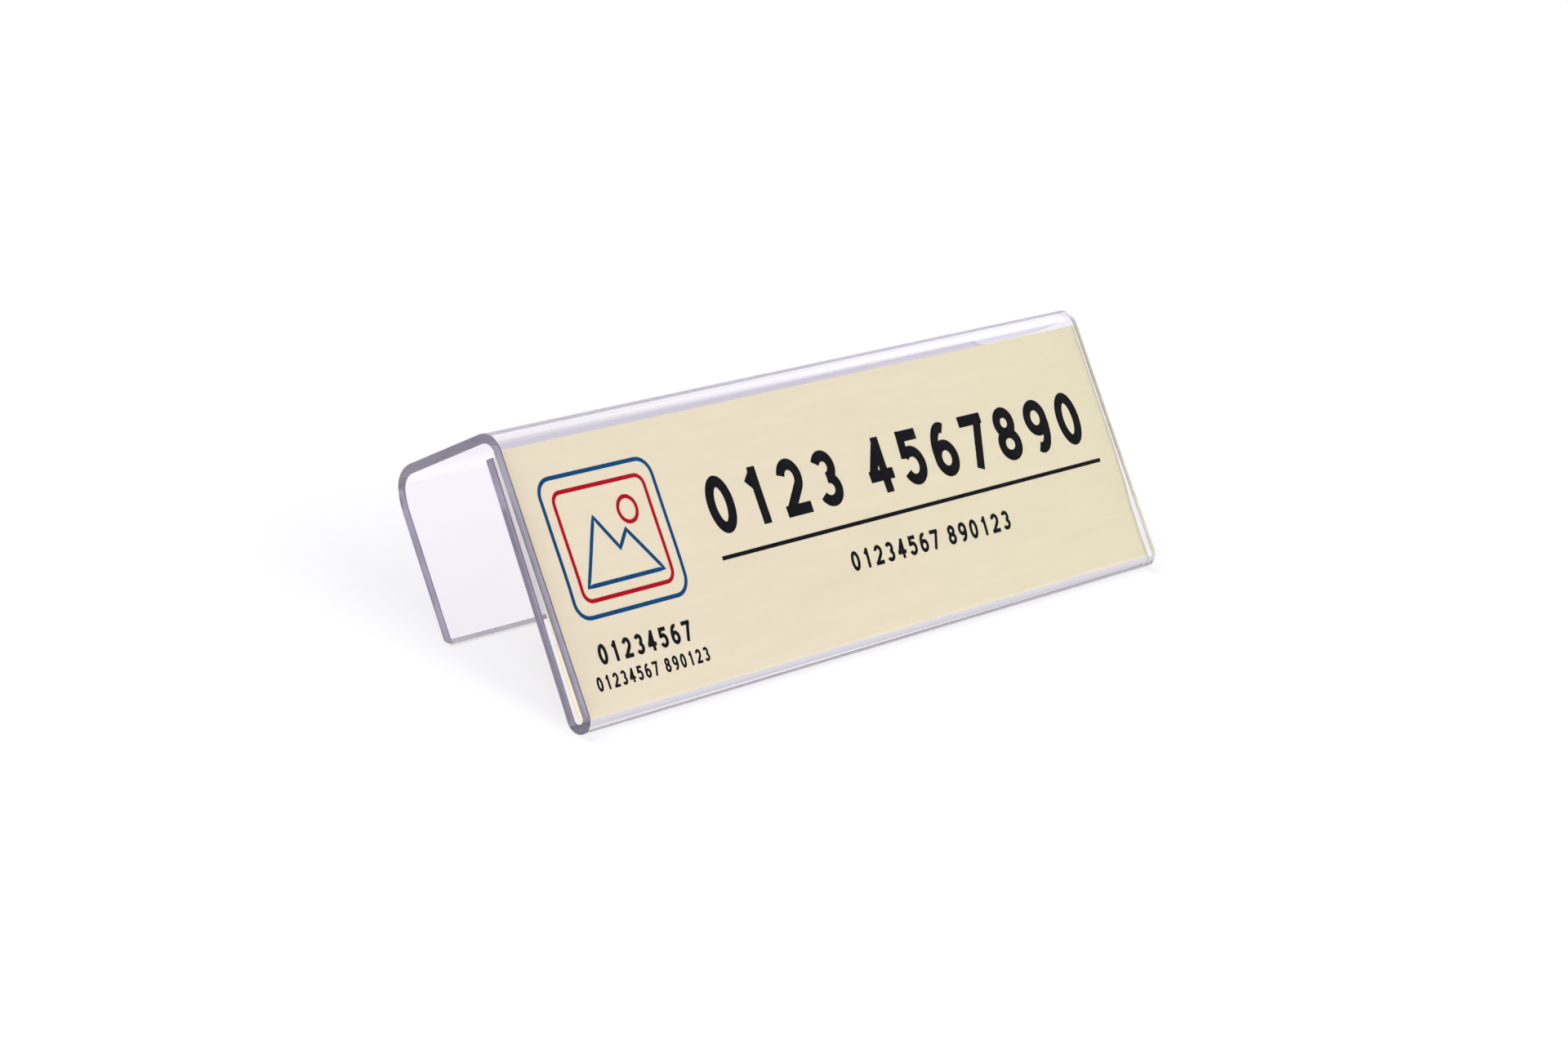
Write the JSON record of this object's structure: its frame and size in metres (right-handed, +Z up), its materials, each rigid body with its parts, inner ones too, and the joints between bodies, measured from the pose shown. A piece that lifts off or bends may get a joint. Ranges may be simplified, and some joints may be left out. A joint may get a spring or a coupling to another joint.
{
  "type": "cubicle name plate holder",
  "caption": "Clear acrylic strip bent into a window, an insert pocket and a hook that hangs over a partition wall, with a slide-in card.",
  "frame": {"origin": "on the ground, under the middle of the holder's bounding box, as it stands off the wall", "axes": "+X along the holder, -Y towards the reader, with the window facing -Y and up, +Z up"},
  "size_m": [0.216, 0.0714, 0.0519],
  "materials": {
    "clear_acrylic": "clear polished sheet with a faint lavender tint and greyer sawn ends",
    "cream_card": "uncoated cream card, printed on the side behind the window"
  },
  "bodies": {
    "holder": {"acrylic_holder": "clear_acrylic"},
    "card": {"insert_card": "cream_card"}
  },
  "joints": [
    {"name": "insert_slide", "type": "slide", "parent": "holder", "child": "card", "axis": [1, 0, 0], "range_m": [-0.22, 0.22]}
  ]
}
